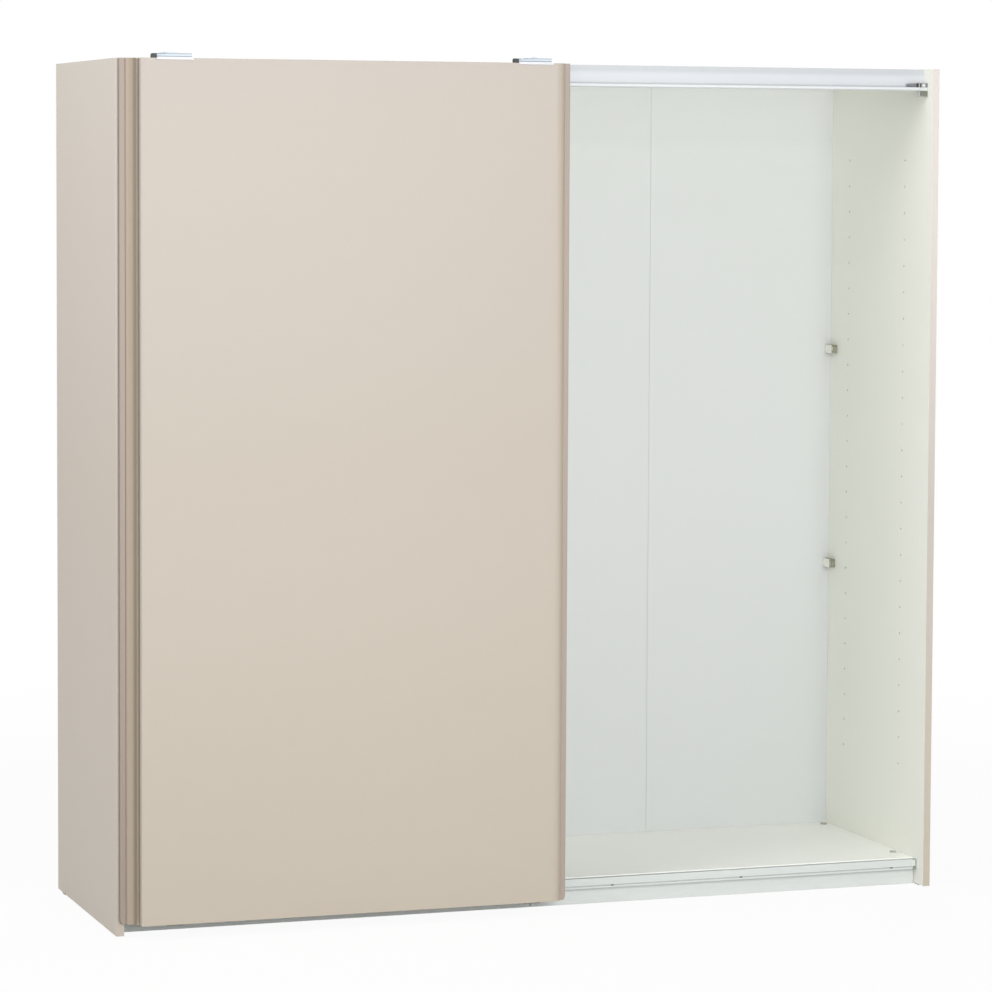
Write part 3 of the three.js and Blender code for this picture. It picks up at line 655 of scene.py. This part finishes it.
def lay_floor():
    """A pale floor that is white to the eye far off, and keeps the soft shadow near the cabinet."""
    bpy.ops.mesh.primitive_plane_add(size=FLOOR_SIZE, location=(0, 0, 0))
    floor = bpy.context.object
    floor.name = "studio_floor"
    material, nodes, links = new_material("studio_floor")
    matt = nodes["Principled BSDF"]
    matt.inputs["Base Color"].default_value = (FLOOR_TONE, FLOOR_TONE, FLOOR_TONE, 1)
    matt.inputs["Roughness"].default_value = FLOOR_ROUGHNESS
    matt.inputs["Specular IOR Level"].default_value = FLOOR_GLOSS
    glow = nodes.new("ShaderNodeEmission")
    blend = nodes.new("ShaderNodeMixShader")
    share = computed(nodes, links, "MULTIPLY", seen_directly(nodes, links), whiteness(nodes, links))
    links.new(share, blend.inputs["Fac"])
    links.new(matt.outputs["BSDF"], blend.inputs[1])
    links.new(glow.outputs["Emission"], blend.inputs[2])
    links.new(blend.outputs["Shader"], nodes["Material Output"].inputs["Surface"])
    floor.data.materials.append(material)


def light_sky():
    """An even, pale surround that the eye sees as white."""
    world = bpy.data.worlds.new("studio_surround")
    world.use_nodes = True
    scene.world = world
    nodes, links = world.node_tree.nodes, world.node_tree.links
    background = nodes["Background"]
    background.inputs["Strength"].default_value = 1.0
    tone = nodes.new("ShaderNodeMix")
    tone.data_type = "RGBA"
    tone.inputs["A"].default_value = (SKY_TONE, SKY_TONE, SKY_TONE, 1)
    tone.inputs["B"].default_value = (1, 1, 1, 1)
    links.new(seen_directly(nodes, links), tone.inputs["Factor"])
    links.new(tone.outputs["Result"], background.inputs["Color"])


# Boards and back sheets
def side_panel_rule(node, side):
    """Cashmere outside and white inside, bare board in the holes, and an edge band on the right one; all
    but the holes carry painted light graded over them.
    """
    low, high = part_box(node)
    inner = low.x if side > 0 else -high.x
    outer = high.x if side > 0 else -low.x

    def rule(centre, normal):
        if centre.x * side - inner < FACE_REACH:
            return "white_wall_painted_light"
        if side > 0 and normal.y < -SQUARELY and centre.y < low.y + FACE_REACH:
            return "edge_band_painted_light"
        rims = (centre.y - low.y, high.y - centre.y, centre.z - low.z, high.z - centre.z)
        in_hole = outer - centre.x * side > FACE_REACH and min(rims) > FACE_REACH
        return "chipboard" if in_hole else "side_face_painted_light"

    return rule


def partition_rule(node):
    """White outside, with painted light that grows lighter towards the back, and bare board inside the
    holes.
    """
    low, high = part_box(node)

    def rule(centre, normal):
        gaps = [
            min(centre[axis] - low[axis], high[axis] - centre[axis])
            for axis in (X_AXIS, Y_AXIS, Z_AXIS)
        ]
        return "chipboard" if min(gaps) > FACE_REACH else "white_wall_painted_light"

    return rule


def dress_carcass():
    names = ("side_face_painted_light", "white_wall_painted_light", "chipboard", "edge_band_painted_light")
    for side, sign in (("left", -1), ("right", 1)):
        node = f"{side}_side_panel"
        rule = side_panel_rule(node, sign)
        carry_over(node, names, BOARD_EASE, rule, FEW_STEPS)
    node = "middle_partition"
    names = ("white_wall_painted_light", "chipboard")
    carry_over(node, names, BOARD_EASE, partition_rule(node), FEW_STEPS)
    for side in ("left", "right"):
        for board in ("top", "bottom"):
            carry_over(f"{board}_board_{side}", ("white",), BOARD_EASE)
        carry_over(f"plinth_{side}", ("plinth",), BOARD_EASE)
        carry_over(f"back_joint_strip_{side}", ("strip",), METAL_EASE)


def sheet_rule(centre, normal):
    """White inside, with painted light that grows lighter towards the top, and raw hardboard at the
    rear.
    """
    return "raw_sheet" if normal.y > MAINLY else "white_sheet_painted_light"


def dress_back():
    names = ("white_sheet_painted_light", "raw_sheet")
    for number in range(1, BACK_SHEETS + 1):
        carry_over(f"back_sheet_{number}", names, METAL_EASE, sheet_rule)


# Doors
def door_rule(node, roll, side):
    """The face with painted light by height, and the rolled edge beside its lip on the left or on the
    right with painted shade.
    """
    low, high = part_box(node)
    edge = high.x if side > 0 else -low.x

    def rule(centre, normal):
        near_lip = centre.x * side > edge - GRIP_REACH
        return roll if near_lip and normal.x * side > GRIP_TURN and normal.y < 0 else "door_face_painted_light"

    return rule


def dress_doors():
    for door, side in (("front", 1), ("rear", -1)):
        node = f"{door}_door_panel"
        roll = f"{door}_roll"
        rule = door_rule(node, roll, side)
        carry_over(node, ("door_face_painted_light", roll), BOARD_EASE, rule)
        carry_over(f"{door}_door_grip_strip", (f"{door}_lip",), BOARD_EASE)


# Rails, stops, hangers and other small parts
def guide_rail_rule(node):
    """Shade on the guide rail's top and in the groove of its face."""
    low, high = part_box(node)

    def rule(centre, normal):
        if normal.z > MAINLY and centre.z > high.z - FACE_REACH:
            return "groove"
        in_groove = abs(centre.y - low.y - GROOVE_DEPTH) < GROOVE_DEPTH / 2
        below_lip = centre.z < low.z + GROOVE_TOP
        return "groove" if normal.y < -MAINLY and in_groove and below_lip else "guide"

    return rule


def stop_body_start(node, side):
    """How far from the middle of the cabinet an end stop's body begins."""
    low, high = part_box(node)
    return (high.x if side > 0 else -low.x) - STOP_BODY


def stop_rule(node, side):
    """A ribbed block below, a bright strip over the lip, a screw head, and the arm."""
    body_start = stop_body_start(node, side)
    body_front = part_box(node)[0].y + STOP_HEAD
    strip_top = rail_low + STOP_STRIP

    def rule(centre, normal):
        if centre.z < rail_low:
            return "stop_block"
        on_head = centre.y < body_front - SAME_POINT and centre.z > strip_top
        if centre.z < strip_top or on_head:
            return "screw"
        reach = centre.x * side - body_start
        return "black" if STOP_DARK_START < reach < STOP_DARK_END else "stop_arm"

    return rule


def dress_rails():
    carry_over("top_rail", ("rail",), METAL_EASE, None, FEW_STEPS)
    node = "bottom_guide_rail"
    names = ("guide", "groove")
    carry_over(node, names, METAL_EASE, guide_rail_rule(node), FEW_STEPS)
    names = ("stop_arm", "black", "stop_block", "screw")
    for side, sign in (("left", -1), ("right", 1)):
        node = f"rail_end_stop_{side}"
        start = stop_body_start(node, sign)
        lines = [(X_AXIS, (start + reach) * sign) for reach in (STOP_DARK_START, STOP_DARK_END)]
        rule = stop_rule(node, sign)
        carry_over(node, names, METAL_EASE, rule, FULL_STEPS, lines)
        carry_over(f"upper_track_stop_{side}", ("grey",), PLASTIC_EASE)


def hanger_rule(node):
    """Plain steel above and behind, painted dark lines on cut edges and bends as reflection and shadow,
    and painted light: paler in front, with a glint on the foot.
    """
    tab_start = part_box(node)[1].x - HANGER_TAB

    def rule(centre, normal):
        if normal.y > -MAINLY:
            return "zinc" if abs(normal.z) > NEARLY or normal.y > MAINLY else "zinc_painted_dark_line"
        if centre.x > tab_start:
            return "zinc_front_painted_pale"
        rise = centre.z - side_high
        if rise < HANGER_FOOT:
            return "zinc_foot_painted_glint"
        on_bend = rise < HANGER_BEND or HANGER_CREASE < rise < HANGER_TOP
        return "zinc_painted_dark_line" if on_bend else "zinc_front_painted_pale"

    return rule


def dress_running_gear():
    steel = ("zinc", "zinc_painted_dark_line", "zinc_front_painted_pale", "zinc_foot_painted_glint")
    lines = [(Z_AXIS, side_high + rise) for rise in (HANGER_BEND, HANGER_CREASE, HANGER_TOP)]
    for door in ("front", "rear"):
        for side in ("left", "right"):
            node = f"{door}_door_hanger_{side}"
            rule = hanger_rule(node)
            carry_over(node, steel, METAL_EASE, rule, FULL_STEPS, lines)
            carry_over(f"{door}_door_guide_{side}", ("grey",), PLASTIC_EASE)
        for number in range(1, DOOR_ROLLERS + 1):
            carry_over(f"{door}_roller_{number}", ("nylon",), METAL_EASE)
    for side in ("left", "right"):
        carry_over(f"front_door_buffer_{side}", ("black",), PLASTIC_EASE)


def clip_rule(centre, normal):
    """A painted highlight on the sides, and painted shade elsewhere."""
    return "nickel_side_painted_highlight" if abs(normal.x) > MAINLY else "nickel"


def dress_small_parts():
    names = ("nickel", "nickel_side_painted_highlight")
    for side in ("left", "right"):
        for level in ("lower", "upper"):
            carry_over(f"back_clip_{side}_{level}", names, METAL_EASE, clip_rule)
    for column in ("left", "middle", "right"):
        for row in ("front", "rear"):
            carry_over(f"foot_glide_{column}_{row}", ("black",), METAL_EASE)


# Small fittings that the solids leave to the scene
def pick(mesh_items, rule):
    """In edit mode, selects the faces or the edges that the rule takes."""
    for item in mesh_items:
        if rule(item):
            item.select_set(True)


def pick_faces(piece, rule):
    """In edit mode, selects only the faces whose direction the rule takes."""
    bpy.ops.mesh.select_mode(type="FACE")
    bpy.ops.mesh.select_all(action="DESELECT")
    mesh = bmesh.from_edit_mesh(piece.data)
    pick(mesh.faces, lambda face: rule(face.normal))
    bmesh.update_edit_mesh(piece.data)


def pick_edges(piece, rule):
    """In edit mode, selects only the edges whose middle the rule takes."""
    bpy.ops.mesh.select_mode(type="EDGE")
    bpy.ops.mesh.select_all(action="DESELECT")
    mesh = bmesh.from_edit_mesh(piece.data)
    pick(mesh.edges, lambda edge: rule((edge.verts[0].co + edge.verts[1].co) / 2))
    bmesh.update_edit_mesh(piece.data)


def settle(piece, names, rule):
    """Leaves the piece's place in its mesh, and fixes it to the cabinet in its finishes."""
    select_only(piece)
    bpy.ops.object.transform_apply(location=True, rotation=True, scale=True)
    shade(piece)
    paint(piece, names, rule)
    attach(piece, "cabinet")


def round_cap(name, centre, radius, height, rim, sink, turn=(0, 0, 0)):
    """A round cap: a low disc with a raised rim, a sunk middle and an eased edge."""
    bpy.ops.object.select_all(action="DESELECT")
    bpy.ops.mesh.primitive_cylinder_add(
        vertices=ROUND_SIDES, radius=radius, depth=height, location=centre, rotation=turn,
    )
    piece = bpy.context.object
    piece.name = name
    bpy.ops.object.mode_set(mode="EDIT")
    pick_faces(piece, lambda normal: normal.z > SQUARELY)
    bpy.ops.mesh.inset(thickness=rim)
    bpy.ops.mesh.inset(thickness=rim * ROUND_SLOPE_SHARE, depth=-sink)
    bpy.ops.object.mode_set(mode="OBJECT")
    apply_modifier(
        piece, "BEVEL", width=height * ROUND_EASE_SHARE, segments=FEW_STEPS, limit_method="ANGLE",
        angle_limit=EDGE_ANGLE,
    )
    return piece


def copy_at(model, name, shift):
    """The same piece once more, with its own mesh."""
    piece = bpy.data.objects.new(name, model.data.copy())
    scene.collection.objects.link(piece)
    piece.data.transform(Matrix.Translation(shift))
    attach(piece, "cabinet")


def fit_cam_covers():
    """Covers over the cam fittings in the bottom boards: the first is modelled, and the rest copied."""
    low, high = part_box("bottom_board_right")
    start = Vector((high.x - CAM_INSET, low.y + CAM_FRONT, high.z + CAM_HEIGHT / 2))
    model = round_cap("cam_cover_right_1", start, CAM_RADIUS, CAM_HEIGHT, CAM_RIM, CAM_SINK)
    settle(model, ("cam",), None)
    span = high.x - low.x - 2 * CAM_INSET
    depth = high.y - low.y - CAM_FRONT - CAM_BACK
    to_left_board = -(high.x + low.x)
    places = [
        (side, (board_shift + across, along, 0))
        for side, board_shift in (("right", 0), ("left", to_left_board))
        for across in (0, -span)
        for along in (0, depth)
    ]
    for number, (side, shift) in enumerate(places[1:], 2):
        copy_at(model, f"cam_cover_{side}_{number}", shift)


def fit_rail_screws():
    """Screw heads along the groove of the guide rail: the first is modelled, and the rest copied."""
    low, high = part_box("bottom_guide_rail")
    first = RAIL_SCREW_PLACES[0]
    start = Vector((first, low.y + RAIL_SCREW_HEIGHT / 2, low.z + RAIL_SCREW_RISE))
    model = round_cap(
        "guide_rail_screw_1", start, RAIL_SCREW_RADIUS, RAIL_SCREW_HEIGHT, RAIL_SCREW_RIM,
        RAIL_SCREW_SINK, turn=(math.pi / 2, 0, 0),
    )
    sunk = low.y + RAIL_SCREW_SINK / 2

    # The sunk middle of each head is painted black as shade in its recess, and the rest is the screw's
    # own dark grey
    def rule(centre, normal):
        return "black" if normal.y < -SQUARELY and centre.y > sunk else "screw_grey_and_groove_shade"

    settle(model, ("screw_grey_and_groove_shade", "black"), rule)
    for number, place in enumerate(RAIL_SCREW_PLACES[1:], 2):
        copy_at(model, f"guide_rail_screw_{number}", (place - first, 0, 0))


def fit_rail_end_cap():
    """A thin moulded cap over the right end of the guide rail, with a rounded upper corner, and painted
    shade on its border and the lower part of its field.
    """
    low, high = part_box("bottom_guide_rail")
    front = low.y - CAP_PROUD
    top = high.z + CAP_PROUD
    size = (CAP_LENGTH, CAP_PROUD, top - low.z)
    centre = (high.x - CAP_LENGTH / 2, front + CAP_PROUD / 2, (top + low.z) / 2)
    bpy.ops.object.select_all(action="DESELECT")
    bpy.ops.mesh.primitive_cube_add(size=1, location=centre, scale=size)
    piece = bpy.context.object
    piece.name = "guide_rail_end_cap_right"
    bpy.ops.object.transform_apply(location=True, rotation=True, scale=True)
    bpy.ops.object.mode_set(mode="EDIT")
    pick_edges(piece, lambda middle: middle.x > high.x - NEAR_POINT and middle.z > top - NEAR_POINT)
    bpy.ops.mesh.bevel(offset=CAP_ROUND, segments=CAP_ROUND_STEPS)
    pick_faces(piece, lambda normal: normal.y < -SQUARELY)
    bpy.ops.mesh.inset(thickness=CAP_BORDER, depth=-CAP_SINK)
    bpy.ops.object.mode_set(mode="OBJECT")
    groove_top = low.z + GROOVE_TOP
    score(piece, [(Z_AXIS, groove_top)])
    left_border_end = high.x - CAP_LENGTH + CAP_BORDER

    # The cap's border and the part of its field below the groove's top are painted dark as shade
    def rule(middle, normal):
        if middle.x < left_border_end:
            return "guide"
        if normal.y > -SQUARELY or middle.y < front + CAP_BORDER_DEPTH:
            return "cap_border_painted_shade"
        return "screw_grey_and_groove_shade" if middle.z < groove_top else "guide"

    settle(piece, ("cap_border_painted_shade", "guide", "screw_grey_and_groove_shade"), rule)


place_camera()
for box_name, box_values in SOFT_BOXES.items():
    soft_box(box_name, *box_values)
lay_floor()
light_sky()
dress_carcass()
dress_back()
dress_doors()
dress_rails()
dress_running_gear()
dress_small_parts()
fit_cam_covers()
fit_rail_screws()
fit_rail_end_cap()
